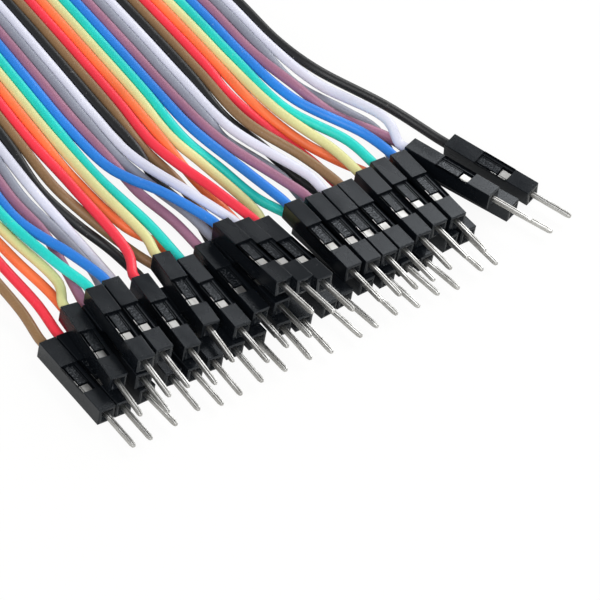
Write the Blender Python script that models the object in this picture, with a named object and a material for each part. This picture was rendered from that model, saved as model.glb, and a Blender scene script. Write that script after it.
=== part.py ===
"""A flat cable of forty bonded breadboard jumper wires.

Every wire ends in its own black single-way housing with a square crimp pin.
The near housings lie loose in up to three levels, and the far ones lie in two
neat rows. +Z is up, the cable runs along Y and the near pins point to -Y.
Sizes below are millimetres and are turned into metres where shapes are made.
"""
from math import ceil, cos, radians, sin

import bmesh
import bpy
from mathutils import Matrix, Vector

MM = 0.001

# Wires
WIRE_COUNT = 40
WIRE_COLOURS = (
    "black", "white", "grey", "purple", "blue", "green", "yellow", "orange", "red", "brown",
)
WIRE_PITCH = 1.4
WIRE_CLEARANCE = 0.2
WIRE_END_GAP = 0.3
WIRE_LEAD = 1.5
RIBBON_MIDDLE_X = -5.0
BONDED_STEP = 15.0
FANNED_STEP = 7.5

# Housings
HOUSING_WIDTH = 2.54
HOUSING_LENGTH = 14.0
LEVEL_CLEARANCE = 0.06
WINDOW_WIDTH = 1.2
WINDOW_DEPTH = 0.8
WINDOW_FRONT = 3.8
WINDOW_BACK = 5.4
LATCH_WIDTH = 1.5
LATCH_DEPTH = 0.3
LATCH_BACK = 9.1
FUNNEL_MOUTH = 1.5
FUNNEL_THROAT = 0.9
FUNNEL_DEPTH = 0.5

# Pins
PIN_WIDTH = 0.64
PIN_REACH = 6.2
PIN_TIP_LENGTH = 0.5
PIN_TIP_WIDTH = 0.3
PIN_SEAT = 2.0

# Joints between housings that share a solid
ROW_OVERLAP = 0.02
JOINT_BITE = 0.1
JOINT_LENGTH = 3.0
JOINT_TO_TAIL = 0.5
STACK_JOINT_WIDTH = 0.3
SIDE_JOINT_WIDTH = 1.0
SIDE_JOINT_HEIGHT = 1.0
CUT_MARGIN = 0.4

# Far end
FAR_TAIL_Y = 110.0

# Near housings: nose x, nose y, turn towards +X in degrees, level
NEAR_HOUSINGS = {
    1: (39.8, 0.2, 17.5, 1),
    2: (32.4, 0.3, 18.0, 2),
    3: (26.8, -1.9, 1.0, 1),
    4: (35.5, -0.9, 20.0, 1),
    5: (25.1, -1.1, -1.0, 2),
    6: (22.0, -1.0, 0.0, 2),
    7: (18.8, -1.6, -1.0, 2),
    8: (23.9, -1.9, 5.0, 1),
    9: (18.7, -3.2, 6.0, 1),
    10: (15.3, -2.3, 0.0, 2),
    11: (15.7, -2.8, 5.0, 1),
    12: (12.4, -2.4, -1.0, 2),
    13: (12.0, -3.4, 4.0, 1),
    14: (9.6, -2.4, -1.0, 2),
    15: (6.6, -2.1, 0.0, 2),
    16: (8.6, -3.1, 3.0, 1),
    17: (4.5, -3.8, 6.0, 1),
    18: (1.6, -4.2, 5.0, 1),
    19: (-1.1, -5.0, 0.0, 3),
    20: (-3.0, -4.7, -1.0, 1),
    21: (-6.1, -4.3, -2.0, 1),
    23: (-5.9, -2.9, 1.0, 2),
    24: (-9.4, -3.0, -2.0, 2),
    26: (-13.2, -4.0, -3.0, 2),
    27: (-16.7, -1.8, -7.5, 2),
    28: (-10.5, -4.5, 0.0, 1),
    29: (-21.3, -4.0, -6.0, 2),
    30: (-14.2, -4.6, -2.5, 1),
    31: (-18.0, -5.2, -3.0, 1),
    32: (-21.4, -5.5, -1.5, 1),
    33: (-24.5, -4.8, -3.0, 1),
    34: (-29.8, -5.2, -5.0, 2),
    35: (-26.7, -4.7, -5.0, 3),
    36: (-29.7, -4.9, -6.0, 3),
    37: (-33.0, -4.0, -7.5, 2),
    38: (-29.2, -5.6, 2.0, 1),
    39: (-33.2, -6.1, -1.0, 1),
    40: (-35.9, -6.1, -1.0, 1),
}

# Near housings that lie against a neighbour: the neighbour and the slide towards the tail
NEAR_BESIDE = {22: (19, 1.0), 25: (22, 1.2)}

# Near housings whose noses are lifted off their level, in degrees
NOSE_LIFT = {19: 5.0, 22: 5.0, 25: 5.0}

# Near housings that lie turned about their own length, in degrees
ROLL = {1: 10.0}

# Housings that share one solid, and which of them a joint block ties together
NEAR_STACKS = (
    ((1,), ()),
    ((4, 2), ((4, 2),)),
    ((3, 5), ((3, 5),)),
    ((8, 6), ((8, 6),)),
    ((9, 7), ((9, 7),)),
    ((11, 10), ((11, 10),)),
    ((13, 12), ((13, 12),)),
    ((16, 15, 14), ((16, 15), (16, 14))),
    ((18, 17), ((18, 17),)),
    ((25, 22, 19), ()),
    ((21, 20, 23), ((21, 20), (21, 23))),
    ((28, 24), ((28, 24),)),
    ((30, 26), ((30, 26),)),
    ((31, 27), ((31, 27),)),
    ((33, 32, 29), ((33, 32), (32, 29))),
    ((36, 35), ((36, 35),)),
    ((38, 34), ((38, 34),)),
    ((40, 39, 37), ((40, 39), (39, 37))),
)

# Where each wire passes between its near housing and the bonded ribbon
FAN_POINTS = {
    1: ((31.4, 22.6, 3.1), (25.4, 31.4, 5.3)),
    2: ((27.4, 18.0, 5.9), (23.7, 28.8, 5.4)),
    3: ((28.4, 20.8, 1.5), (25.6, 24.7, 3.0), (21.4, 30.8, 4.7)),
    4: ((28.3, 17.3, 2.6), (22.9, 23.8, 4.2), (20.2, 30.2, 5.9)),
    5: ((24.3, 18.6, 4.2), (18.9, 27.8, 5.4)),
    6: ((21.4, 18.5, 4.2), (16.8, 26.9, 5.3)),
    7: ((18.5, 17.9, 4.3), (15.3, 26.8, 5.6)),
    8: ((19.6, 18.3, 1.7), (16.3, 22.6, 3.2), (13.8, 29.6, 4.9)),
    9: ((16.3, 19.4, 1.9), (13.5, 25.4, 3.7), (11.7, 33.4, 5.1)),
    10: ((13.8, 18.7, 4.4), (10.1, 27.2, 5.6)),
    11: ((12.6, 18.0, 1.7), (10.8, 24.0, 3.4), (8.7, 29.6, 4.8)),
    12: ((12.4, 15.0, 4.3), (7.6, 27.1, 5.4)),
    13: ((10.8, 18.8, 1.9), (7.0, 27.5, 3.5), (6.0, 28.8, 5.0)),
    14: ((8.5, 16.7, 4.3), (4.9, 26.5, 5.4)),
    15: ((5.2, 19.8, 4.4), (2.8, 29.4, 5.5)),
    16: ((5.3, 17.1, 1.8), (3.3, 23.3, 3.2), (1.2, 28.6, 4.8)),
    17: ((3.5, 14.6, 1.9), (1.1, 24.0, 4.0), (-0.5, 29.7, 5.1)),
    18: ((0.0, 17.6, 1.8), (-1.3, 22.9, 3.4), (-2.1, 28.6, 5.3)),
    19: ((-2.4, 17.9, 6.4), (-3.7, 29.0, 5.5)),
    20: ((-3.0, 18.1, 1.8), (-3.6, 23.8, 3.5), (-4.9, 29.9, 4.8)),
    21: ((-4.4, 18.5, 2.0), (-6.2, 25.0, 3.6), (-6.3, 29.3, 5.4)),
    22: ((-5.6, 18.4, 6.4), (-7.8, 29.2, 5.6)),
    23: ((-6.4, 17.2, 4.0), (-7.9, 23.8, 4.4), (-9.2, 30.2, 5.1)),
    24: ((-9.0, 17.0, 4.0), (-10.1, 24.0, 4.2), (-10.6, 29.4, 5.3)),
    25: ((-8.8, 20.6, 6.3), (-10.8, 24.7, 6.0), (-11.9, 28.7, 5.6)),
    26: ((-12.5, 17.8, 4.3), (-14.0, 28.0, 5.3)),
    27: ((-14.3, 15.9, 4.3), (-15.5, 26.4, 5.6)),
    28: ((-12.0, 16.8, 1.7), (-14.6, 20.0, 2.9), (-16.6, 29.5, 4.7)),
    29: ((-18.1, 14.6, 4.1), (-18.1, 28.0, 5.3)),
    30: ((-15.7, 16.2, 1.9), (-18.4, 23.7, 3.5), (-20.1, 29.0, 5.1)),
    31: ((-18.1, 17.7, 1.9), (-20.4, 23.2, 3.4), (-22.0, 29.3, 4.8)),
    32: ((-21.1, 18.1, 1.9), (-22.3, 23.9, 3.8), (-23.3, 29.3, 5.5)),
    33: ((-22.4, 16.4, 1.7), (-23.6, 22.9, 3.5), (-25.0, 29.0, 5.0)),
    34: ((-26.9, 17.1, 4.0), (-25.9, 23.2, 4.4), (-26.5, 29.4, 5.2)),
    35: ((-26.3, 16.1, 6.3), (-28.4, 25.8, 5.6)),
    36: ((-29.1, 16.4, 6.3), (-29.9, 27.0, 5.9)),
    37: ((-29.4, 14.5, 4.0), (-30.4, 24.0, 4.5), (-31.0, 29.2, 5.0)),
    38: ((-29.8, 15.5, 1.7), (-31.3, 21.8, 3.1), (-32.4, 29.2, 4.7)),
    39: ((-32.6, 14.2, 1.8), (-33.8, 23.3, 3.8), (-33.7, 29.6, 5.5)),
    40: ((-35.1, 14.2, 1.7), (-35.9, 23.5, 3.7)),
}

# The ribbon's low arch: distance along Y, spread of the pitch, shift along X and height
RIBBON_STATIONS = (
    (38.0, 1.073, -0.48, 5.7),
    (47.0, 1.054, -0.26, 6.1),
    (60.0, 1.019, -0.15, 6.8),
    (74.0, 1.007, 0.05, 6.9),
    (87.0, 1.0, 0.0, 6.0),
)

# Where the wires part for the far rows: distance before the far housings, share
# of the sideways step still to go, and the heights of the lower and upper wires
FAR_STATIONS = (
    (14.0, 0.6, 3.4, 5.6),
    (8.0, 0.15, 1.7, 4.3),
)

COLOURS = {
    "black": (0.016, 0.019, 0.019),
    "white": (0.64, 0.64, 0.82),
    "grey": (0.26, 0.28, 0.37),
    "purple": (0.33, 0.13, 0.24),
    "blue": (0.026, 0.20, 0.72),
    "green": (0.021, 0.60, 0.46),
    "yellow": (0.75, 0.68, 0.26),
    "orange": (1.0, 0.17, 0.045),
    "red": (0.95, 0.045, 0.08),
    "brown": (0.20, 0.13, 0.06),
    "housing": (0.028, 0.03, 0.033),
}


def clear_scene():
    for old in list(bpy.data.objects):
        bpy.data.objects.remove(old, do_unlink=True)


def new_collection(name):
    collection = bpy.data.collections.new(name)
    bpy.context.scene.collection.children.link(collection)
    return collection


def plastic(name, colour):
    """A Principled plastic of one colour."""
    material = bpy.data.materials.new(name)
    material.use_nodes = True
    shader = material.node_tree.nodes["Principled BSDF"]
    shader.inputs["Base Color"].default_value = (*COLOURS[colour], 1.0)
    shader.inputs["Roughness"].default_value = 0.45
    shader.inputs["Metallic"].default_value = 0.0
    return material


def colour_of(number):
    return WIRE_COLOURS[(number - 1) % len(WIRE_COLOURS)]


def level_height(level):
    """Height of a housing's centre line on its level."""
    return HOUSING_WIDTH / 2 + (level - 1) * (HOUSING_WIDTH + LEVEL_CLEARANCE)


def near_seat(number):
    """A near housing's nose x and y, its turn and its level."""
    if number not in NEAR_BESIDE:
        return NEAR_HOUSINGS[number]
    neighbour, slide = NEAR_BESIDE[number]
    x, y, turn, level = near_seat(neighbour)
    aside = Vector((ROW_OVERLAP - HOUSING_WIDTH, slide, 0))
    step = Matrix.Rotation(radians(turn), 4, "Z") @ aside
    return x + step.x, y + step.y, turn, level


def near_placement(number):
    """Matrix that takes a housing, nose at the origin and pointing to -Y, to its place."""
    x, y, turn, level = near_seat(number)
    roll = radians(ROLL.get(number, 0.0))
    lift = radians(NOSE_LIFT.get(number, 0.0))
    flat = Matrix.Rotation(radians(turn), 4, "Z")
    height = level_height(level) + HOUSING_WIDTH / 2 * (cos(roll) + sin(roll) - 1)
    tail = Vector((x, y, height)) + flat @ Vector((0, HOUSING_LENGTH, 0))
    turned = flat @ Matrix.Rotation(-lift, 4, "X") @ Matrix.Rotation(-roll, 4, "Y")
    nose = tail - turned @ Vector((0, HOUSING_LENGTH, 0))
    return Matrix.Translation(nose) @ turned


def far_place(number):
    """The middle of a far housing's tail: odd wires below, even ones above."""
    columns = WIRE_COUNT // 2
    column = (number - 1) // 2
    pitch = HOUSING_WIDTH - ROW_OVERLAP
    level = 1 if number % 2 else 2
    return Vector((
        RIBBON_MIDDLE_X + ((columns - 1) / 2 - column) * pitch,
        FAR_TAIL_Y,
        level_height(level),
    ))


def far_placement(number):
    nose = far_place(number) + Vector((0, HOUSING_LENGTH, 0))
    return Matrix.Translation(nose) @ Matrix.Rotation(radians(180), 4, "Z")


def ribbon_x(number, spread=1.0):
    """A wire's place across the bonded ribbon."""
    return RIBBON_MIDDLE_X + ((WIRE_COUNT + 1) / 2 - number) * WIRE_PITCH * spread


def wire_stations(number):
    """The points that a wire passes through, near housing first."""
    placement = near_placement(number)
    stations = [
        placement @ Vector((0, HOUSING_LENGTH + WIRE_END_GAP, 0)),
        placement @ Vector((0, HOUSING_LENGTH + WIRE_LEAD, 0)),
    ]
    stations += [Vector(point) for point in FAN_POINTS[number]]
    for y, spread, shift, height in RIBBON_STATIONS:
        stations.append(Vector((ribbon_x(number, spread) + shift, y, height)))
    tail = far_place(number)
    step = ribbon_x(number) - tail.x
    for before, share, lower, upper in FAR_STATIONS:
        height = lower if number % 2 else upper
        stations.append(Vector((tail.x + step * share, FAR_TAIL_Y - before, height)))
    stations.append(tail - Vector((0, WIRE_LEAD, 0)))
    stations.append(tail - Vector((0, WIRE_END_GAP, 0)))
    return stations


def curve_point(before, start, end, after, share):
    """A point between start and end on a centripetal Catmull-Rom curve."""
    t0 = 0.0
    t1 = t0 + (start - before).length ** 0.5
    t2 = t1 + (end - start).length ** 0.5
    t3 = t2 + (after - end).length ** 0.5
    t = t1 + (t2 - t1) * share
    a1 = before.lerp(start, (t - t0) / (t1 - t0))
    a2 = start.lerp(end, (t - t1) / (t2 - t1))
    a3 = end.lerp(after, (t - t2) / (t3 - t2))
    b1 = a1.lerp(a2, (t - t0) / (t2 - t0))
    b2 = a2.lerp(a3, (t - t1) / (t3 - t1))
    return b1.lerp(b2, (t - t1) / (t2 - t1))


def smooth_route(stations):
    """Points along the smooth curve through the stations, closer where it is fanned."""
    first = stations[0] * 2 - stations[1]
    last = stations[-1] * 2 - stations[-2]
    held = [first, *stations, last]
    bonded = RIBBON_STATIONS[0][0]
    points = []
    for i in range(1, len(held) - 2):
        start = held[i]
        end = held[i + 1]
        longest = BONDED_STEP if max(start.y, end.y) > bonded else FANNED_STEP
        steps = ceil((end - start).length / longest)
        for step in range(steps):
            points.append(curve_point(held[i - 1], start, end, held[i + 2], step / steps))
    points.append(stations[-1])
    return points


def wire(number, collection):
    """One insulated wire: a tube along its route."""
    name = f"wire_{number:02d}_{colour_of(number)}"
    curve = bpy.data.curves.new(name, "CURVE")
    curve.dimensions = "3D"
    curve.bevel_depth = (WIRE_PITCH - WIRE_CLEARANCE) / 2 * MM
    curve.bevel_resolution = 2
    curve.render_resolution_u = 0
    curve.use_fill_caps = True
    points = smooth_route(wire_stations(number))
    spline = curve.splines.new("POLY")
    spline.points.add(len(points) - 1)
    for target, point in zip(spline.points, points):
        target.co = (*(point * MM), 1.0)
    made = bpy.data.objects.new(name, curve)
    made.data.materials.append(plastic(name, colour_of(number)))
    collection.objects.link(made)
    return made


def block(name, size, centre, collection):
    """A box of this size in millimetres, with its place in its mesh."""
    shape = bmesh.new()
    bmesh.ops.create_cube(shape, size=1.0)
    bmesh.ops.scale(shape, vec=Vector(size) * MM, verts=shape.verts)
    bmesh.ops.translate(shape, vec=Vector(centre) * MM, verts=shape.verts)
    return finish_mesh(name, shape, collection)


def finish_mesh(name, shape, collection):
    mesh = bpy.data.meshes.new(name)
    bmesh.ops.recalc_face_normals(shape, faces=shape.faces)
    shape.to_mesh(mesh)
    shape.free()
    made = bpy.data.objects.new(name, mesh)
    collection.objects.link(made)
    return made


def boolean(target, tool, operation):
    """A live Boolean on target, with the tool kept as a hidden guide."""
    modifier = target.modifiers.new(tool.name, "BOOLEAN")
    modifier.operation = operation
    modifier.solver = "EXACT"
    modifier.object = tool
    tool.hide_render = True
    tool.display_type = "WIRE"


def pin_shape(collection):
    """The square pin, from its seat inside the housing to its narrowed tip."""
    square_length = PIN_SEAT + PIN_REACH - PIN_TIP_LENGTH
    shape = bmesh.new()
    bmesh.ops.create_cube(shape, size=1.0)
    bmesh.ops.scale(shape, vec=(PIN_WIDTH, square_length, PIN_WIDTH), verts=shape.verts)
    bmesh.ops.translate(shape, vec=(0, PIN_SEAT - square_length / 2, 0), verts=shape.verts)
    shape.faces.ensure_lookup_table()
    front = min(shape.faces, key=lambda face: face.calc_center_median().y)
    tip = bmesh.ops.extrude_discrete_faces(shape, faces=[front])["faces"][0]
    bmesh.ops.translate(shape, vec=(0, -PIN_TIP_LENGTH, 0), verts=tip.verts)
    share = PIN_TIP_WIDTH / PIN_WIDTH
    bmesh.ops.scale(shape, vec=(share, 1, share), verts=tip.verts)
    bmesh.ops.scale(shape, vec=(MM, MM, MM), verts=shape.verts)
    return finish_mesh("pin", shape, collection)


def funnel_shape(collection):
    """The square funnel that leads to the pin in the nose face."""
    shape = bmesh.new()
    bmesh.ops.create_cube(shape, size=1.0)
    depth = FUNNEL_DEPTH + CUT_MARGIN
    bmesh.ops.scale(shape, vec=(FUNNEL_MOUTH, depth, FUNNEL_MOUTH), verts=shape.verts)
    bmesh.ops.translate(shape, vec=(0, FUNNEL_DEPTH - depth / 2, 0), verts=shape.verts)
    inner = [vert for vert in shape.verts if vert.co.y > 0]
    share = FUNNEL_THROAT / FUNNEL_MOUTH
    bmesh.ops.scale(shape, vec=(share, 1, share), verts=inner)
    bmesh.ops.scale(shape, vec=(MM, MM, MM), verts=shape.verts)
    return finish_mesh("funnel", shape, collection)


def connector_mesh(collection):
    """A single-way housing with its window, latch recess, funnel and crimp pin.

    Its nose is at the origin, its pin points to -Y and its window faces +Z.
    """
    top = HOUSING_WIDTH / 2
    body = block(
        "connector",
        (HOUSING_WIDTH, HOUSING_LENGTH, HOUSING_WIDTH),
        (0, HOUSING_LENGTH / 2, 0),
        collection,
    )
    window = block(
        "window",
        (WINDOW_WIDTH, WINDOW_BACK - WINDOW_FRONT + JOINT_BITE, WINDOW_DEPTH + CUT_MARGIN),
        (0, (WINDOW_BACK + WINDOW_FRONT + JOINT_BITE) / 2, top - (WINDOW_DEPTH - CUT_MARGIN) / 2),
        collection,
    )
    latch = block(
        "latch",
        (LATCH_WIDTH, LATCH_BACK - WINDOW_BACK, LATCH_DEPTH + CUT_MARGIN),
        (0, (LATCH_BACK + WINDOW_BACK) / 2, top - (LATCH_DEPTH - CUT_MARGIN) / 2),
        collection,
    )
    funnel = funnel_shape(collection)
    pin = pin_shape(collection)
    boolean(body, window, "DIFFERENCE")
    boolean(body, latch, "DIFFERENCE")
    boolean(body, funnel, "DIFFERENCE")
    boolean(body, pin, "UNION")
    depsgraph = bpy.context.evaluated_depsgraph_get()
    mesh = bpy.data.meshes.new_from_object(body.evaluated_get(depsgraph))
    mesh.name = "connector"
    for guide in (body, window, latch, funnel, pin):
        bpy.data.objects.remove(guide, do_unlink=True)
    return mesh


def housing(name, mesh, placement, collection):
    """One copy of the connector, set in its place."""
    made = bpy.data.objects.new(name, mesh.copy())
    made.matrix_world = scaled(placement)
    collection.objects.link(made)
    return made


def scaled(placement):
    """The same placement with its shift in metres."""
    turned = placement.to_3x3().to_4x4()
    return Matrix.Translation(placement.translation * MM) @ turned


def joint(first, second, collection):
    """The small block that makes two touching housings one solid."""
    reach = Vector((0, HOUSING_LENGTH - JOINT_TO_TAIL - JOINT_LENGTH / 2, 0))
    ends = [near_placement(number) @ reach for number in (first, second)]
    turn = (NEAR_HOUSINGS[first][2] + NEAR_HOUSINGS[second][2]) / 2
    if NEAR_HOUSINGS[first][3] == NEAR_HOUSINGS[second][3]:
        size = (SIDE_JOINT_WIDTH, JOINT_LENGTH, SIDE_JOINT_HEIGHT)
    else:
        size = (STACK_JOINT_WIDTH, JOINT_LENGTH, LEVEL_CLEARANCE + 2 * JOINT_BITE)
    made = block(f"joint_{first:02d}_{second:02d}", size, (0, 0, 0), collection)
    middle = (ends[0] + ends[1]) / 2
    made.matrix_world = scaled(
        Matrix.Translation(middle) @ Matrix.Rotation(radians(turn), 4, "Z")
    )
    return made


def join_all(carrier, others):
    for other in others:
        boolean(carrier, other, "UNION")


def near_stack(members, joints, mesh, parts, cutters):
    """A near housing, or a few that lie on and beside each other, as one solid."""
    numbers = "_".join(f"{number:02d}" for number in members)
    name = f"near_housing_{numbers}"
    carrier = housing(name, mesh, near_placement(members[0]), parts)
    others = [joint(first, second, cutters) for first, second in joints]
    for number in members[1:]:
        others.append(housing(f"housing_{number:02d}", mesh, near_placement(number), cutters))
    join_all(carrier, others)
    carrier.data.materials.append(plastic(name, "housing"))
    return carrier


def far_row(name, first, mesh, parts, cutters):
    """One neat row of far housings, side by side."""
    carrier = housing(name, mesh, far_placement(first), parts)
    others = [
        housing(f"far_{number:02d}", mesh, far_placement(number), cutters)
        for number in range(first + 2, WIRE_COUNT + 1, 2)
    ]
    join_all(carrier, others)
    carrier.data.materials.append(plastic(name, "housing"))
    return carrier


def centre_on_origin(parts, everything):
    """Hang all objects from one empty, with the middle of the footprint at the origin."""
    bpy.context.view_layer.update()
    depsgraph = bpy.context.evaluated_depsgraph_get()
    corners = []
    for part in parts.objects:
        evaluated = part.evaluated_get(depsgraph)
        mesh = evaluated.to_mesh()
        corners += [evaluated.matrix_world @ vert.co for vert in mesh.vertices]
        evaluated.to_mesh_clear()
    middle = Vector([
        (min(corner[axis] for corner in corners) + max(corner[axis] for corner in corners)) / 2
        for axis in range(2)
    ] + [0.0])
    middle.z = min(corner.z for corner in corners)
    frame = bpy.data.objects.new("frame", None)
    bpy.context.scene.collection.objects.link(frame)
    for made in everything:
        made.parent = frame
    frame.location = -middle
    bpy.context.view_layer.update()


def main():
    clear_scene()
    parts = new_collection("breadboard_jumper_wire")
    cutters = new_collection("cutters")
    mesh = connector_mesh(cutters)
    for number in range(1, WIRE_COUNT + 1):
        wire(number, parts)
    for members, joints in NEAR_STACKS:
        near_stack(members, joints, mesh, parts, cutters)
    far_row("far_housings_lower", 1, mesh, parts, cutters)
    far_row("far_housings_upper", 2, mesh, parts, cutters)
    centre_on_origin(parts, [*parts.objects, *cutters.objects])


main()
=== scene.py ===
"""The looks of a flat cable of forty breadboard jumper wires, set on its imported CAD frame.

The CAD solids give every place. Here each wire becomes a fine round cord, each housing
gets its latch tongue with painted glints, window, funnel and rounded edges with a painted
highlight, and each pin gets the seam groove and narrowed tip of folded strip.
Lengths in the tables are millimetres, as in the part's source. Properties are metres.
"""

from math import ceil, cos, pi, radians, sin

import bmesh
import bpy
from mathutils import Matrix, Vector


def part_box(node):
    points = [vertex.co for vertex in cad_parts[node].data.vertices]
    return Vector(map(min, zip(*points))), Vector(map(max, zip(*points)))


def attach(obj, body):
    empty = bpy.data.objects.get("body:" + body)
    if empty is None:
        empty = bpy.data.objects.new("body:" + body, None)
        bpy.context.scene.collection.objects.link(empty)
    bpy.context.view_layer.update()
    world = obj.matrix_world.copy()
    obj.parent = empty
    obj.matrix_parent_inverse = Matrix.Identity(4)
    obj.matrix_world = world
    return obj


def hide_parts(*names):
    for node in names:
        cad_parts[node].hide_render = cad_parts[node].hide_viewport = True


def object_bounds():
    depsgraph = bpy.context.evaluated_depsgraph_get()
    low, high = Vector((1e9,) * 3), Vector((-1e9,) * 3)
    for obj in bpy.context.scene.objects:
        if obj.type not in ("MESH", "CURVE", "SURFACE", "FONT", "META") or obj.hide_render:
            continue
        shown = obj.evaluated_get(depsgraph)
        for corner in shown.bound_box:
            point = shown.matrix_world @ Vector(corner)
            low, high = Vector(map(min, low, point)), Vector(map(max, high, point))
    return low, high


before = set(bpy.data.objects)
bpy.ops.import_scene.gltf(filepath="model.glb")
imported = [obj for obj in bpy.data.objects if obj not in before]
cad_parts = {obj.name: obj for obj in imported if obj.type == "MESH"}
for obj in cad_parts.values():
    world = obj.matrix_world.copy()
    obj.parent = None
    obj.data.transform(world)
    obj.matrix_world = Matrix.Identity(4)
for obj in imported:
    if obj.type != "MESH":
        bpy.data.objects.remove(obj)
cad_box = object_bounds()

bl_info = {
    "name": "Breadboard Jumper Wires",
    "version": (1, 0, 0),
    "blender": (4, 5, 0),
    "location": "3D View > Sidebar > Jumper Wires",
    "description": "Makes a flat cable of forty jumper wires with their housings and pins",
    "category": "Add Mesh",
}

MM = 0.001

WIRE_COUNT = 40
WIRE_COLOURS = (
    "black", "white", "grey", "purple", "blue", "green", "yellow", "orange", "red", "brown",
)
WIRE_PITCH = 1.4
WIRE_END_GAP = 0.3
WIRE_LEAD = 1.5
RIBBON_MIDDLE_X = -5.0
HOUSING_WIDTH = 2.54
HOUSING_LENGTH = 14.0
LEVEL_CLEARANCE = 0.06
ROW_OVERLAP = 0.02
PIN_REACH = 6.2
FAR_TAIL_Y = 110.0

# Near housings: nose x, nose y, turn towards +X in degrees, level
NEAR_HOUSINGS = {
    1: (39.8, 0.2, 17.5, 1),
    2: (32.4, 0.3, 18.0, 2),
    3: (26.8, -1.9, 1.0, 1),
    4: (35.5, -0.9, 20.0, 1),
    5: (25.1, -1.1, -1.0, 2),
    6: (22.0, -1.0, 0.0, 2),
    7: (18.8, -1.6, -1.0, 2),
    8: (23.9, -1.9, 5.0, 1),
    9: (18.7, -3.2, 6.0, 1),
    10: (15.3, -2.3, 0.0, 2),
    11: (15.7, -2.8, 5.0, 1),
    12: (12.4, -2.4, -1.0, 2),
    13: (12.0, -3.4, 4.0, 1),
    14: (9.6, -2.4, -1.0, 2),
    15: (6.6, -2.1, 0.0, 2),
    16: (8.6, -3.1, 3.0, 1),
    17: (4.5, -3.8, 6.0, 1),
    18: (1.6, -4.2, 5.0, 1),
    19: (-1.1, -5.0, 0.0, 3),
    20: (-3.0, -4.7, -1.0, 1),
    21: (-6.1, -4.3, -2.0, 1),
    23: (-5.9, -2.9, 1.0, 2),
    24: (-9.4, -3.0, -2.0, 2),
    26: (-13.2, -4.0, -3.0, 2),
    27: (-16.7, -1.8, -7.5, 2),
    28: (-10.5, -4.5, 0.0, 1),
    29: (-21.3, -4.0, -6.0, 2),
    30: (-14.2, -4.6, -2.5, 1),
    31: (-18.0, -5.2, -3.0, 1),
    32: (-21.4, -5.5, -1.5, 1),
    33: (-24.5, -4.8, -3.0, 1),
    34: (-29.8, -5.2, -5.0, 2),
    35: (-26.7, -4.7, -5.0, 3),
    36: (-29.7, -4.9, -6.0, 3),
    37: (-33.0, -4.0, -7.5, 2),
    38: (-29.2, -5.6, 2.0, 1),
    39: (-33.2, -6.1, -1.0, 1),
    40: (-35.9, -6.1, -1.0, 1),
}

# Near housings that lie against a neighbour: the neighbour and the slide towards the tail
NEAR_BESIDE = {22: (19, 1.0), 25: (22, 1.2)}
NOSE_LIFT = {19: 5.0, 22: 5.0, 25: 5.0}
ROLL = {1: 10.0}

# Near housings that stand for one CAD solid
NEAR_STACKS = (
    (1,), (4, 2), (3, 5), (8, 6), (9, 7), (11, 10), (13, 12), (16, 15, 14), (18, 17),
    (25, 22, 19), (21, 20, 23), (28, 24), (30, 26), (31, 27), (33, 32, 29), (36, 35),
    (38, 34), (40, 39, 37),
)

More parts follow.
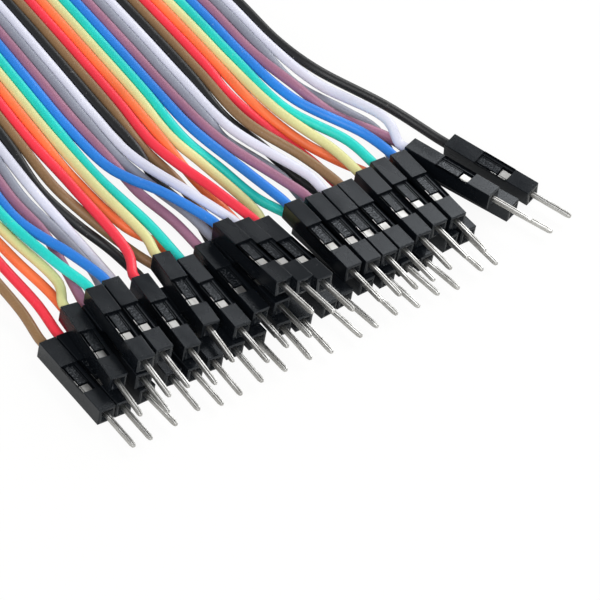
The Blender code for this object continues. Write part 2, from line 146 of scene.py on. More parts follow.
# Where each wire passes between its near housing and the bonded ribbon
FAN_POINTS = {
    1: ((31.4, 22.6, 3.1), (25.4, 31.4, 5.3)),
    2: ((27.4, 18.0, 5.9), (23.7, 28.8, 5.4)),
    3: ((28.4, 20.8, 1.5), (25.6, 24.7, 3.0), (21.4, 30.8, 4.7)),
    4: ((28.3, 17.3, 2.6), (22.9, 23.8, 4.2), (20.2, 30.2, 5.9)),
    5: ((24.3, 18.6, 4.2), (18.9, 27.8, 5.4)),
    6: ((21.4, 18.5, 4.2), (16.8, 26.9, 5.3)),
    7: ((18.5, 17.9, 4.3), (15.3, 26.8, 5.6)),
    8: ((19.6, 18.3, 1.7), (16.3, 22.6, 3.2), (13.8, 29.6, 4.9)),
    9: ((16.3, 19.4, 1.9), (13.5, 25.4, 3.7), (11.7, 33.4, 5.1)),
    10: ((13.8, 18.7, 4.4), (10.1, 27.2, 5.6)),
    11: ((12.6, 18.0, 1.7), (10.8, 24.0, 3.4), (8.7, 29.6, 4.8)),
    12: ((12.4, 15.0, 4.3), (7.6, 27.1, 5.4)),
    13: ((10.8, 18.8, 1.9), (7.0, 27.5, 3.5), (6.0, 28.8, 5.0)),
    14: ((8.5, 16.7, 4.3), (4.9, 26.5, 5.4)),
    15: ((5.2, 19.8, 4.4), (2.8, 29.4, 5.5)),
    16: ((5.3, 17.1, 1.8), (3.3, 23.3, 3.2), (1.2, 28.6, 4.8)),
    17: ((3.5, 14.6, 1.9), (1.1, 24.0, 4.0), (-0.5, 29.7, 5.1)),
    18: ((0.0, 17.6, 1.8), (-1.3, 22.9, 3.4), (-2.1, 28.6, 5.3)),
    19: ((-2.4, 17.9, 6.4), (-3.7, 29.0, 5.5)),
    20: ((-3.0, 18.1, 1.8), (-3.6, 23.8, 3.5), (-4.9, 29.9, 4.8)),
    21: ((-4.4, 18.5, 2.0), (-6.2, 25.0, 3.6), (-6.3, 29.3, 5.4)),
    22: ((-5.6, 18.4, 6.4), (-7.8, 29.2, 5.6)),
    23: ((-6.4, 17.2, 4.0), (-7.9, 23.8, 4.4), (-9.2, 30.2, 5.1)),
    24: ((-9.0, 17.0, 4.0), (-10.1, 24.0, 4.2), (-10.6, 29.4, 5.3)),
    25: ((-8.8, 20.6, 6.3), (-10.8, 24.7, 6.0), (-11.9, 28.7, 5.6)),
    26: ((-12.5, 17.8, 4.3), (-14.0, 28.0, 5.3)),
    27: ((-14.3, 15.9, 4.3), (-15.5, 26.4, 5.6)),
    28: ((-12.0, 16.8, 1.7), (-14.6, 20.0, 2.9), (-16.6, 29.5, 4.7)),
    29: ((-18.1, 14.6, 4.1), (-18.1, 28.0, 5.3)),
    30: ((-15.7, 16.2, 1.9), (-18.4, 23.7, 3.5), (-20.1, 29.0, 5.1)),
    31: ((-18.1, 17.7, 1.9), (-20.4, 23.2, 3.4), (-22.0, 29.3, 4.8)),
    32: ((-21.1, 18.1, 1.9), (-22.3, 23.9, 3.8), (-23.3, 29.3, 5.5)),
    33: ((-22.4, 16.4, 1.7), (-23.6, 22.9, 3.5), (-25.0, 29.0, 5.0)),
    34: ((-26.9, 17.1, 4.0), (-25.9, 23.2, 4.4), (-26.5, 29.4, 5.2)),
    35: ((-26.3, 16.1, 6.3), (-28.4, 25.8, 5.6)),
    36: ((-29.1, 16.4, 6.3), (-29.9, 27.0, 5.9)),
    37: ((-29.4, 14.5, 4.0), (-30.4, 24.0, 4.5), (-31.0, 29.2, 5.0)),
    38: ((-29.8, 15.5, 1.7), (-31.3, 21.8, 3.1), (-32.4, 29.2, 4.7)),
    39: ((-32.6, 14.2, 1.8), (-33.8, 23.3, 3.8), (-33.7, 29.6, 5.5)),
    40: ((-35.1, 14.2, 1.7), (-35.9, 23.5, 3.7)),
}

# The ribbon's low arch: distance along Y, widening of the pitch, shift along X and height
RIBBON_STATIONS = (
    (38.0, 1.073, -0.48, 5.7),
    (47.0, 1.054, -0.26, 6.1),
    (60.0, 1.019, -0.15, 6.8),
    (74.0, 1.007, 0.05, 6.9),
    (87.0, 1.0, 0.0, 6.0),
)

# Before the far tails: distance, share of the step to the ribbon, lower and upper height
FAR_STATIONS = (
    (14.0, 0.6, 3.4, 5.6),
    (8.0, 0.15, 1.7, 4.3),
)

# Cuts across and along a housing's top, and the depth of the fields between them
TOP_CUTS_X = (-1.27, -0.97, -0.62, 0.5, 0.6, 0.76, 0.86, 1.27)
TOP_CUTS_Y = (0.0, 3.8, 5.6, 6.3, 9.0, 14.0)
WALL_STEP = 0.32
TONGUE_STEP = 0.45
SLOT_DEPTH = 1.3
TOP_FIELDS = {
    # front and back of the window and of the latch: depths across x
    (3.8, 5.6): (WALL_STEP, *[SLOT_DEPTH] * 5, WALL_STEP),
    (5.6, 9.0): (
        WALL_STEP, SLOT_DEPTH, TONGUE_STEP, SLOT_DEPTH, TONGUE_STEP, SLOT_DEPTH, WALL_STEP,
    ),
}

# Where the latch tongue's grain and its painted glints lie, across and along the top
GRAIN_X = (-0.66, 0.58)
GRAIN_Y = (5.5, 9.05)

# The square funnel in the nose and the hole in the tail
FUNNEL_DEPTH = 0.55
FUNNEL_BOTTOM = 0.8
TAIL_HOLE_DEPTH = 2.6

# How far the pin reaches back into its housing, and its narrowed tip
PIN_BACK = 1.6
TIP_LENGTH = 0.6
TIP_SHARE = 0.55

# Plates of the crimp that show through the window: size and middle
CRIMP_PLATES = (
    ((1.12, 1.5, 0.06), (-0.06, 4.6, 0.74)),
    ((0.2, 1.2, 0.4), (-0.84, 4.75, 0.6)),
    ((0.2, 0.9, 0.4), (-0.84, 6.1, 0.55)),
    ((1.7, 4.6, 0.5), (-0.05, 5.6, -0.35)),
)

# Soft lamps: place and width of the square, in metres
KEY_LAMP = ((0.478, 0.07, 0.407), 0.45)
FILL_LAMP = ((-0.55, -0.6, 0.7), 0.8)

# The middle of the part's footprint in the tables' own millimetres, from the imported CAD
far_low, far_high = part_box("far_housings_lower")
MIDDLE = Vector((
    RIBBON_MIDDLE_X - (far_low.x + far_high.x) / 2 / MM,
    FAR_TAIL_Y + HOUSING_LENGTH + PIN_REACH - far_high.y / MM,
    0.0,
))


# Places, worked out as in the part's source


def colour_of(number):
    return WIRE_COLOURS[(number - 1) % len(WIRE_COLOURS)]


def level_height(level):
    return HOUSING_WIDTH / 2 + (level - 1) * (HOUSING_WIDTH + LEVEL_CLEARANCE)


def near_seat(number):
    """A near housing's nose x and y, its turn and its level."""
    if number not in NEAR_BESIDE:
        return NEAR_HOUSINGS[number]
    neighbour, slide = NEAR_BESIDE[number]
    x, y, turn, level = near_seat(neighbour)
    aside = Vector((ROW_OVERLAP - HOUSING_WIDTH, slide, 0))
    step = Matrix.Rotation(radians(turn), 4, "Z") @ aside
    return x + step.x, y + step.y, turn, level


def near_placement(number):
    """Takes a housing, nose at the origin and pointing to -Y, to its near place, in mm."""
    x, y, turn, level = near_seat(number)
    roll = radians(ROLL.get(number, 0.0))
    lift = radians(NOSE_LIFT.get(number, 0.0))
    flat = Matrix.Rotation(radians(turn), 4, "Z")
    height = level_height(level) + HOUSING_WIDTH / 2 * (cos(roll) + sin(roll) - 1)
    tail = Vector((x, y, height)) + flat @ Vector((0, HOUSING_LENGTH, 0))
    turned = flat @ Matrix.Rotation(-lift, 4, "X") @ Matrix.Rotation(-roll, 4, "Y")
    nose = tail - turned @ Vector((0, HOUSING_LENGTH, 0))
    return Matrix.Translation(nose) @ turned


def far_place(number):
    """The middle of a far housing's tail: odd wires below, even ones above."""
    columns = WIRE_COUNT // 2
    column = (number - 1) // 2
    pitch = HOUSING_WIDTH - ROW_OVERLAP
    level = 1 if number % 2 else 2
    return Vector((
        RIBBON_MIDDLE_X + ((columns - 1) / 2 - column) * pitch,
        FAR_TAIL_Y,
        level_height(level),
    ))


def far_placement(number):
    nose = far_place(number) + Vector((0, HOUSING_LENGTH, 0))
    return Matrix.Translation(nose) @ Matrix.Rotation(pi, 4, "Z")


def ribbon_x(number, widening=1.0):
    return RIBBON_MIDDLE_X + ((WIRE_COUNT + 1) / 2 - number) * WIRE_PITCH * widening


def wire_stations(number):
    """The points that a wire passes through, near housing first, in mm."""
    placement = near_placement(number)
    stations = [
        placement @ Vector((0, HOUSING_LENGTH + WIRE_END_GAP, 0)),
        placement @ Vector((0, HOUSING_LENGTH + WIRE_LEAD, 0)),
    ]
    stations += [Vector(point) for point in FAN_POINTS[number]]
    for y, widening, shift, height in RIBBON_STATIONS:
        stations.append(Vector((ribbon_x(number, widening) + shift, y, height)))
    tail = far_place(number)
    step = ribbon_x(number) - tail.x
    for before, share, lower, upper in FAR_STATIONS:
        height = lower if number % 2 else upper
        stations.append(Vector((tail.x + step * share, FAR_TAIL_Y - before, height)))
    stations.append(tail - Vector((0, WIRE_LEAD, 0)))
    stations.append(tail - Vector((0, WIRE_END_GAP, 0)))
    return stations


def curve_point(before, start, end, after, share):
    """A point between start and end on a centripetal Catmull-Rom curve."""
    t0 = 0.0
    t1 = t0 + (start - before).length ** 0.5
    t2 = t1 + (end - start).length ** 0.5
    t3 = t2 + (after - end).length ** 0.5
    t = t1 + (t2 - t1) * share
    a1 = before.lerp(start, (t - t0) / (t1 - t0))
    a2 = start.lerp(end, (t - t1) / (t2 - t1))
    a3 = end.lerp(after, (t - t2) / (t3 - t2))
    b1 = a1.lerp(a2, (t - t0) / (t2 - t0))
    b2 = a2.lerp(a3, (t - t1) / (t3 - t1))
    return b1.lerp(b2, (t - t1) / (t2 - t1))


def in_frame(point):
    """A point of the tables, in metres and in the part's own frame."""
    return (Vector(point) - MIDDLE) * MM


def in_frame_matrix(placement):
    turned = placement.to_3x3().to_4x4()
    return Matrix.Translation(in_frame(placement.translation)) @ turned


# Properties


def length_property(label, description, value, low, high):
    return bpy.props.FloatProperty(
        name=label,
        description=description,
        default=value,
        min=low,
        max=high,
        precision=5,
        unit="LENGTH",
    )


def colour_property(label, value):
    return bpy.props.FloatVectorProperty(
        name=label,
        description=f"Colour of {label.lower()}",
        default=value,
        size=3,
        min=0.0,
        max=1.0,
        subtype="COLOR",
    )


class JumperWireSizes(bpy.types.PropertyGroup):
    """Sizes of the insulated wires."""

    diameter: length_property(
        "Diameter", "Outside diameter of the insulation", 0.00138, 0.001, 0.0014
    )
    length: length_property(
        "Length", "Length of wire between its two housings", 0.1, 0.03, 1.0
    )
    into_housing: length_property(
        "Into Housing", "How far the insulation goes into a housing's tail", 0.0018, 0.0005, 0.003
    )
    point_spacing: length_property(
        "Point Spacing", "Longest distance between the points of a wire", 0.0011, 0.0005, 0.01
    )


class HousingSizes(bpy.types.PropertyGroup):
    """Sizes of a housing's rounded edges, funnel and tail hole."""

    edge_round: length_property(
        "Edge Rounding", "Radius of the long outside edges", 0.00009, 0.00002, 0.0003
    )
    nose_chamfer: length_property(
        "Nose Chamfer", "Chamfer around the nose face", 0.0002, 0.00005, 0.0005
    )
    funnel_mouth: length_property(
        "Funnel Mouth", "Width of the square funnel around the pin", 0.00175, 0.001, 0.002
    )
    tail_hole: length_property(
        "Tail Hole", "Width of the square hole that the wire goes into", 0.00185, 0.0015, 0.0022
    )


class PinSizes(bpy.types.PropertyGroup):
    """Sizes of a folded crimp pin."""

    width: length_property(
        "Width", "Width of the square pin", 0.00064, 0.0004, 0.0008
    )
    seam: length_property(
        "Seam", "Width of the seam between the two folded leaves", 0.00014, 0.00002, 0.0002
    )


class CableColours(bpy.types.PropertyGroup):
    """Colours of the wires, housings and pins."""

    black: colour_property("Black Insulation", (0.016, 0.017, 0.018))
    white: colour_property("White Insulation", (0.74, 0.75, 0.87))
    grey: colour_property("Grey Insulation", (0.265, 0.28, 0.34))
    purple: colour_property("Purple Insulation", (0.365, 0.16, 0.245))
    blue: colour_property("Blue Insulation", (0.03, 0.225, 0.75))
    green: colour_property("Green Insulation", (0.02, 0.66, 0.58))
    yellow: colour_property("Yellow Insulation", (0.75, 0.73, 0.33))
    orange: colour_property("Orange Insulation", (1.0, 0.205, 0.07))
    red: colour_property("Red Insulation", (0.98, 0.045, 0.075))
    brown: colour_property("Brown Insulation", (0.27, 0.155, 0.075))
    housing: colour_property("Housing Plastic", (0.0045, 0.0058, 0.0078))
    pin: colour_property("Tinned Pin", (0.52, 0.52, 0.51))
    paper: colour_property("Paper Floor", (0.92, 0.91, 0.88))


class StageSettings(bpy.types.PropertyGroup):
    """The camera's place and the studio light."""

    camera_distance: length_property(
        "Camera Distance", "From the camera to the middle of the picture", 0.67607, 0.1, 5.0
    )
    camera_height: bpy.props.FloatProperty(
        name="Camera Height Angle",
        description="Angle of the view above the floor",
        default=0.752165,
        min=0.0,
        max=1.5,
        unit="ROTATION",
    )
    camera_turn: bpy.props.FloatProperty(
        name="Camera Turn",
        description="Turn of the view about the vertical",
        default=-pi / 4,
        unit="ROTATION",
    )
    camera_roll: bpy.props.FloatProperty(
        name="Camera Roll",
        description="Roll of the camera about its own view",
        default=0.204405,
        unit="ROTATION",
    )
    lens: bpy.props.FloatProperty(
        name="Lens",
        description="Focal length for a 36 mm frame, in millimetres",
        default=308.154,
        min=20.0,
        max=600.0,
    )
    key_power: bpy.props.FloatProperty(
        name="Key Power",
        description="Power of the soft lamp whose edge shows in the black plastic",
        default=3.0,
        min=0.0,
        max=200.0,
        unit="POWER",
    )
    fill_power: bpy.props.FloatProperty(
        name="Fill Power",
        description="Power of the wide soft lamp on the other side",
        default=9.0,
        min=0.0,
        max=200.0,
        unit="POWER",
    )
    room_light: bpy.props.FloatProperty(
        name="Room Light",
        description="Strength of the even light from all around",
        default=0.3,
        min=0.0,
        max=2.0,
    )


def settings(context, name):
    return getattr(context.scene, name)


# Node groups


def new_group(name, inputs, outputs):
    """An empty shader node group with its sockets and its two end nodes."""
    group = bpy.data.node_groups.new(name, "ShaderNodeTree")
    for label, kind, value in inputs:
        socket = group.interface.new_socket(name=label, in_out="INPUT", socket_type=kind)
        socket.default_value = value
    for label, kind in outputs:
        group.interface.new_socket(name=label, in_out="OUTPUT", socket_type=kind)
    return group, group.nodes.new("NodeGroupInput"), group.nodes.new("NodeGroupOutput")


def noise(group, scale, detail, place, squeeze=(1.0, 1.0, 1.0)):
    """Noise on the piece's own coordinates, drawn out along an axis by squeeze."""
    mapping = group.nodes.new("ShaderNodeMapping")
    mapping.inputs["Scale"].default_value = squeeze
    made = group.nodes.new("ShaderNodeTexNoise")
    made.inputs["Detail"].default_value = detail
    made.inputs["Scale"].default_value = scale
    group.links.new(place, mapping.inputs["Vector"])
    group.links.new(mapping.outputs["Vector"], made.inputs["Vector"])
    return made


def spread(group, value, low, high, out_low, out_high):
    """Takes a range of values to another one, held at its ends."""
    made = group.nodes.new("ShaderNodeMapRange")
    made.inputs["From Min"].default_value = low
    made.inputs["From Max"].default_value = high
    made.inputs["To Min"].default_value = out_low
    made.inputs["To Max"].default_value = out_high
    group.links.new(value, made.inputs["Value"])
    return made.outputs["Result"]


def blend_colours(group, share, first, second, mode="MIX"):
    made = group.nodes.new("ShaderNodeMix")
    made.data_type = "RGBA"
    made.blend_type = mode
    for value, socket in ((share, 0), (first, 6), (second, 7)):
        if hasattr(value, "is_output"):
            group.links.new(value, made.inputs[socket])
        else:
            made.inputs[socket].default_value = value
    return made.outputs[2]


def add_values(group, first, second, operation="ADD"):
    made = group.nodes.new("ShaderNodeMath")
    made.operation = operation
    for value, socket in ((first, 0), (second, 1)):
        if hasattr(value, "is_output"):
            group.links.new(value, made.inputs[socket])
        else:
            made.inputs[socket].default_value = value
    return made.outputs[0]


def moulded_skin_group():
    """Cloudy colour, fine speckle, pale dust and roughness of moulded or drawn plastic."""
    group, start, end = new_group(
        "moulded skin",
        [
            ("Colour", "NodeSocketColor", (0.5, 0.5, 0.5, 1.0)),
            ("Clouding", "NodeSocketFloat", 0.15),
            ("Speckle", "NodeSocketFloat", 0.2),
            ("Dust", "NodeSocketFloat", 0.5),
            ("Gloss Change", "NodeSocketFloat", 0.1),
            ("Roughness", "NodeSocketFloat", 0.4),
        ],
        [
            ("Colour", "NodeSocketColor"),
            ("Roughness", "NodeSocketFloat"),
            ("Height", "NodeSocketFloat"),
        ],
    )
    place = group.nodes.new("ShaderNodeTexCoord").outputs["Object"]
    clouds = noise(group, 260.0, 3.0, place, (1.0, 0.35, 1.0)).outputs["Fac"]
    grain = noise(group, 5200.0, 2.0, place).outputs["Fac"]
    specks = noise(group, 2600.0, 0.0, place).outputs["Fac"]
    darker = blend_colours(
        group, spread(group, clouds, 0.35, 0.7, 0.0, 1.0), start.outputs["Colour"],
        (0.62, 0.62, 0.66, 1.0), "MULTIPLY",
    )
    cloudy = blend_colours(group, start.outputs["Clouding"], start.outputs["Colour"], darker)
    grained = blend_colours(
        group, spread(group, grain, 0.45, 0.75, 0.0, 1.0), cloudy, (1.0, 1.0, 1.0, 1.0),
        "SOFT_LIGHT",
    )
    speckled = blend_colours(group, start.outputs["Speckle"], cloudy, grained)
    dust = add_values(
        group, spread(group, specks, 0.8, 0.85, 0.0, 1.0), start.outputs["Dust"], "MULTIPLY"
    )
    dusty = blend_colours(group, dust, speckled, (0.75, 0.73, 0.7, 1.0))
    change = add_values(
        group, spread(group, clouds, 0.3, 0.7, -0.5, 0.5), start.outputs["Gloss Change"],
        "MULTIPLY",
    )
    rough = add_values(group, start.outputs["Roughness"], change)
    rough = add_values(group, rough, add_values(group, dust, 0.4, "MULTIPLY"))
    height = add_values(group, grain, add_values(group, clouds, 0.6, "MULTIPLY"))
    group.links.new(dusty, end.inputs["Colour"])
    group.links.new(rough, end.inputs["Roughness"])
    group.links.new(height, end.inputs["Height"])
    return group


def grainy_field_group():
    """The coarse spark-eroded grain of the latch tongue, only where the mesh marks it, with
    painted glints on its tops; and a painted highlight on the marked edges.
    """
    group, start, end = new_group(
        "grainy field",
        [
            ("Colour", "NodeSocketColor", (0.5, 0.5, 0.5, 1.0)),
            ("Painted Highlight Colour", "NodeSocketColor", (0.1, 0.1, 0.1, 1.0)),
            ("Height", "NodeSocketFloat", 0.5),
        ],
        [("Colour", "NodeSocketColor"), ("Height", "NodeSocketFloat")],
    )
    place = group.nodes.new("ShaderNodeTexCoord").outputs["Object"]
    marked = group.nodes.new("ShaderNodeAttribute")
    marked.attribute_name = "grain"
    edges = group.nodes.new("ShaderNodeAttribute")
    edges.attribute_name = "edge"
    grains = noise(group, 3200.0, 2.0, place).outputs["Fac"]
    # Painted glints: the tops of the grain are lightened towards the highlight colour.
    grain_glints = add_values(
        group, spread(group, grains, 0.5, 0.68, 0.0, 0.5), marked.outputs["Fac"], "MULTIPLY"
    )
    # Painted highlight on the marked edges, lightened by an amount that varies with noise.
    painted_highlight = noise(group, 900.0, 3.0, place).outputs["Fac"]
    edge_highlight = add_values(
        group, spread(group, painted_highlight, 0.35, 0.65, 0.15, 0.8), edges.outputs["Fac"], "MULTIPLY"
    )
    share = add_values(group, grain_glints, edge_highlight, "MAXIMUM")
    colour = blend_colours(
        group, share, start.outputs["Colour"], start.outputs["Painted Highlight Colour"]
    )
    raised = add_values(group, grains, marked.outputs["Fac"], "MULTIPLY")
    height = add_values(
        group, start.outputs["Height"], add_values(group, raised, 4.0, "MULTIPLY")
    )
    group.links.new(colour, end.inputs["Colour"])
    group.links.new(height, end.inputs["Height"])
    return group


def rolled_strip_group():
    """The fine lengthwise marks and dull patches of tinned strip."""
    group, start, end = new_group(
        "rolled strip",
        [
            ("Colour", "NodeSocketColor", (0.7, 0.7, 0.7, 1.0)),
            ("Dulling", "NodeSocketFloat", 0.3),
            ("Roughness", "NodeSocketFloat", 0.25),
        ],
        [
            ("Colour", "NodeSocketColor"),
            ("Roughness", "NodeSocketFloat"),
            ("Height", "NodeSocketFloat"),
        ],
    )
    place = group.nodes.new("ShaderNodeTexCoord").outputs["Object"]
    marks = noise(group, 6000.0, 2.0, place, (1.0, 0.05, 1.0)).outputs["Fac"]
    patches = noise(group, 700.0, 3.0, place, (1.0, 0.5, 1.0)).outputs["Fac"]
    dull = add_values(
        group, spread(group, patches, 0.4, 0.7, 0.0, 1.0), start.outputs["Dulling"],
        "MULTIPLY",
    )
    colour = blend_colours(
        group, dull, start.outputs["Colour"], (0.34, 0.33, 0.31, 1.0)
    )
    rough = add_values(group, start.outputs["Roughness"], add_values(group, dull, 0.5, "MULTIPLY"))
    group.links.new(colour, end.inputs["Colour"])
    group.links.new(rough, end.inputs["Roughness"])
    group.links.new(marks, end.inputs["Height"])
    return group


def effect(name, make):
    """The node group of this name, built the first time that it is used."""
    return bpy.data.node_groups.get(name) or make()


# Materials


def new_material(name):
    """A material with its Principled shader."""
    material = bpy.data.materials.new(name)
    material.use_nodes = True
    return material, material.node_tree, material.node_tree.nodes["Principled BSDF"]


def place_effect(tree, group, values):
    node = tree.nodes.new("ShaderNodeGroup")
    node.node_tree = group
    for label, value in values.items():
        node.inputs[label].default_value = value
    return node


def bump(tree, shader, height, distance, strength):
    node = tree.nodes.new("ShaderNodeBump")
    node.inputs["Distance"].default_value = distance
    node.inputs["Strength"].default_value = strength
    tree.links.new(height, node.inputs["Height"])
    tree.links.new(node.outputs["Normal"], shader.inputs["Normal"])


def insulation(name, colour, clouding, dust):
    """Soft PVC insulation: a satin skin with faint clouding and rare dust."""
    material, tree, shader = new_material(name)
    skin = place_effect(tree, effect("moulded skin", moulded_skin_group), {
        "Colour": (*colour, 1.0),
        "Clouding": clouding,
        "Speckle": 0.25,
        "Dust": dust,
        "Gloss Change": 0.12,
        "Roughness": 0.4,
    })
    tree.links.new(skin.outputs["Colour"], shader.inputs["Base Color"])
    tree.links.new(skin.outputs["Roughness"], shader.inputs["Roughness"])
    shader.inputs["Specular IOR Level"].default_value = 0.3
    bump(tree, shader, skin.outputs["Height"], 0.00002, 0.25)
    return material


def housing_plastic(colour):
    """Black moulded plastic with a painted highlight on its rounded edges and painted glints on
    the grainy latch tongue.
    """
    material, tree, shader = new_material("black housing plastic")
    skin = place_effect(tree, effect("moulded skin", moulded_skin_group), {
        "Colour": (*colour, 1.0),
        "Clouding": 0.6,
        "Speckle": 0.12,
        "Dust": 0.02,
        "Gloss Change": 0.22,
        "Roughness": 0.24,
    })
    # Painted glints on the tongue's grain and a painted highlight on the rounded edges, in this
    # lighter colour.
    painted_highlight = place_effect(tree, effect("grainy field", grainy_field_group), {
        "Painted Highlight Colour": (0.085, 0.092, 0.1, 1.0),
    })
    tree.links.new(skin.outputs["Colour"], painted_highlight.inputs["Colour"])
    tree.links.new(skin.outputs["Height"], painted_highlight.inputs["Height"])
    tree.links.new(painted_highlight.outputs["Colour"], shader.inputs["Base Color"])
    tree.links.new(skin.outputs["Roughness"], shader.inputs["Roughness"])
    shader.inputs["Specular IOR Level"].default_value = 0.42
    shader.inputs["Specular Tint"].default_value = (0.86, 0.93, 1.0, 1.0)
    bump(tree, shader, painted_highlight.outputs["Height"], 0.00002, 0.3)
    return material


def tinned_metal(colour):
    """Bright tin plating on the folded pins."""
    material, tree, shader = new_material("tinned pin metal")
    strip = place_effect(tree, effect("rolled strip", rolled_strip_group), {
        "Colour": (*colour, 1.0),
        "Dulling": 0.6,
        "Roughness": 0.3,
    })
    tree.links.new(strip.outputs["Colour"], shader.inputs["Base Color"])
    tree.links.new(strip.outputs["Roughness"], shader.inputs["Roughness"])
    shader.inputs["Metallic"].default_value = 1.0
    bump(tree, shader, strip.outputs["Height"], 0.000004, 0.1)
    return material


def background_share(tree, seen, mirrored):
    """How white the background is to the camera, and to reflections and glass."""
    path = tree.nodes.new("ShaderNodeLightPath")
    straight = add_values(tree, path.outputs["Is Camera Ray"], seen, "MULTIPLY")
    turned = add_values(
        tree, path.outputs["Is Glossy Ray"], path.outputs["Is Transmission Ray"], "MAXIMUM"
    )
    return add_values(tree, straight, add_values(tree, turned, mirrored, "MULTIPLY"), "MAXIMUM")


def paper_floor(colour):
    """Plain pale paper that shows nearly white and keeps a faint shadow."""
    material, tree, shader = new_material("pale paper")
    fibre = tree.nodes.new("ShaderNodeTexNoise")
    fibre.inputs["Scale"].default_value = 900.0
    place = tree.nodes.new("ShaderNodeTexCoord")
    tree.links.new(place.outputs["Object"], fibre.inputs["Vector"])
    tint = blend_colours(
        tree, spread(tree, fibre.outputs["Fac"], 0.3, 0.7, 0.0, 1.0), (*colour, 1.0),
        tuple(0.985 * part for part in colour) + (1.0,),
    )
    tree.links.new(tint, shader.inputs["Base Color"])
    shader.inputs["Roughness"].default_value = 0.95
    shader.inputs["Specular IOR Level"].default_value = 0.0
    white = tree.nodes.new("ShaderNodeEmission")
    white.inputs["Strength"].default_value = 1.0
    mix = tree.nodes.new("ShaderNodeMixShader")
    tree.links.new(background_share(tree, 0.92, 0.1), mix.inputs["Fac"])
    tree.links.new(shader.outputs["BSDF"], mix.inputs[1])
    tree.links.new(white.outputs["Emission"], mix.inputs[2])
    tree.links.new(mix.outputs["Shader"], tree.nodes["Material Output"].inputs["Surface"])
    return material


# Shapes


def finish_mesh(name, shape, material, smooth_angle=radians(12)):
    """A bmesh in metres becomes an object at the origin, shaded smooth between sharp edges."""
    mesh = bpy.data.meshes.new(name)
    bmesh.ops.recalc_face_normals(shape, faces=shape.faces)
    for face in shape.faces:
        face.smooth = True
    for edge in shape.edges:
        if edge.is_manifold and edge.calc_face_angle(0.0) > smooth_angle:
            edge.smooth = False
    shape.to_mesh(mesh)
    shape.free()
    mesh.materials.append(material)
    made = bpy.data.objects.new(name, mesh)
    bpy.context.scene.collection.objects.link(made)
    return made


def housing_block():
    """The plain housing in mm, with the middle of its nose at the origin."""
    shape = bmesh.new()
    bmesh.ops.create_cube(shape, size=1.0)
    bmesh.ops.scale(shape, vec=(HOUSING_WIDTH, HOUSING_LENGTH, HOUSING_WIDTH), verts=shape.verts)
    bmesh.ops.translate(shape, vec=(0, HOUSING_LENGTH / 2, 0), verts=shape.verts)
    return shape


def cut_across(shape, place, direction):
    bmesh.ops.bisect_plane(
        shape,
        geom=shape.verts[:] + shape.edges[:] + shape.faces[:],
        plane_co=place,
        plane_no=direction,
        dist=1e-5,
    )


def sink(shape, faces, depth):
    """Pushes a group of top faces down, with walls around them."""
    if not faces:
        return
    made = bmesh.ops.extrude_face_region(shape, geom=faces)["geom"]
    verts = [item for item in made if isinstance(item, bmesh.types.BMVert)]
    bmesh.ops.translate(shape, vec=(0, 0, -depth), verts=verts)
    left = [face for face in faces if face.is_valid]
    bmesh.ops.delete(shape, geom=left, context="FACES")


def field_depth(x, y):
    """How deep the top lies at this place."""
    for (front, back), depths in TOP_FIELDS.items():
        if front < y < back:
            for left, right, depth in zip(TOP_CUTS_X, TOP_CUTS_X[1:], depths):
                if left < x < right:
                    return depth
    return 0.0


def carve_top(shape):
    """Cuts the latch's recess, slots, tongue and window into the top."""
    top = HOUSING_WIDTH / 2
    for x in TOP_CUTS_X[1:-1]:
        cut_across(shape, (x, 0, 0), (1, 0, 0))
    for y in TOP_CUTS_Y[1:-1]:
        cut_across(shape, (0, y, 0), (0, 1, 0))
    shape.normal_update()
    levels = (0.0, WALL_STEP, TONGUE_STEP, SLOT_DEPTH)
    faces = [face for face in shape.faces if face.normal.z > 0.9]
    depths = {}
    for face in faces:
        middle = face.calc_center_median()
        depths[(round(middle.x, 3), round(middle.y, 3))] = field_depth(middle.x, middle.y)
    for above, below in zip(levels, levels[1:]):
        chosen = []
        for face in shape.faces:
            middle = face.calc_center_median()
            if abs(middle.z - (top - above)) > 1e-4 or face.normal.z < 0.9:
                continue
            if depths.get((round(middle.x, 3), round(middle.y, 3)), 0.0) >= below - 1e-6:
                chosen.append(face)
        sink(shape, chosen, below - above)
        shape.normal_update()


def chamfer_nose(shape, sizes):
    """Narrows the nose face, so that a chamfer runs around it."""
    nose = [face for face in shape.faces if face.normal.y < -0.9]
    made = bmesh.ops.extrude_face_region(shape, geom=nose)["geom"]
    verts = [item for item in made if isinstance(item, bmesh.types.BMVert)]
    chamfer = sizes.nose_chamfer / MM
    share = (HOUSING_WIDTH - 2 * chamfer) / HOUSING_WIDTH
    bmesh.ops.delete(shape, geom=[face for face in nose if face.is_valid], context="FACES")
    for vert in shape.verts:
        if vert not in verts and abs(vert.co.y) < 1e-5:
            vert.co.y += chamfer * 0.5
    bmesh.ops.scale(shape, vec=(share, 1, share), verts=verts)


def tube_end(shape, y, width, depth, bottom_width):
    """A square hole in the end at y: the end's faces are joined, inset and pushed in."""
    ends = [face for face in shape.faces if abs(face.calc_center_median().y - y) < 1e-4
            and abs(face.normal.y) > 0.9]
    inner = bmesh.ops.dissolve_faces(shape, faces=ends)["region"]
    face = inner[0]
    across = max(vert.co.x for vert in face.verts) - min(vert.co.x for vert in face.verts)
    bmesh.ops.inset_individual(
        shape, faces=[face], thickness=(across - width) / 2, depth=0.0, use_even_offset=True
    )
    made = bmesh.ops.extrude_discrete_faces(shape, faces=[face])["faces"][0]
    inward = 1.0 if y < HOUSING_LENGTH / 2 else -1.0
    bmesh.ops.translate(shape, vec=(0, inward * depth, 0), verts=made.verts)
    share = bottom_width / width
    bmesh.ops.scale(shape, vec=(share, 1, share), verts=made.verts)


